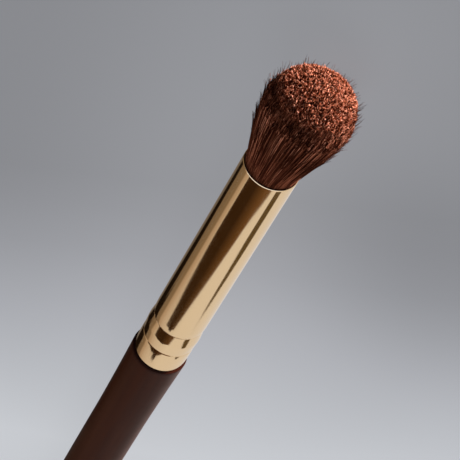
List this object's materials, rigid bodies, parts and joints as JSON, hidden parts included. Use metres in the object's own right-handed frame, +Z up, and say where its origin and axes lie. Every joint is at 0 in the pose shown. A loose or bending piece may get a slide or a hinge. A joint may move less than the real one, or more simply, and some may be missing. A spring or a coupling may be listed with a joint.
{
  "type": "eyeshadow brush",
  "caption": "Fluffy round-headed eyeshadow blending brush: domed soft hair in a crimped gold-toned metal ferrule on a long tapered dark wooden handle.",
  "frame": {"origin": "bottom centre of the box round the brush, on the surface that it lies on, under the middle of its length", "axes": "+X along the brush towards its head, +Z up from the surface"},
  "size_m": [0.177, 0.0106, 0.0106],
  "materials": {
    "lacquered_wood": "satin dark brown lacquer",
    "plated_brass": "polished champagne gold",
    "hair": "soft brown hair with reddish tips",
    "thread": "plain twisted thread",
    "resin": "cured clear amber resin",
    "adhesive": "cured adhesive"
  },
  "bodies": {
    "root": {"handle": "lacquered_wood", "tenon_adhesive": "adhesive", "ferrule": "plated_brass", "resin_plug": "resin", "binding_thread": "thread", "hair_roots": "hair", "hair_tuft": "hair"}
  },
  "joints": []
}
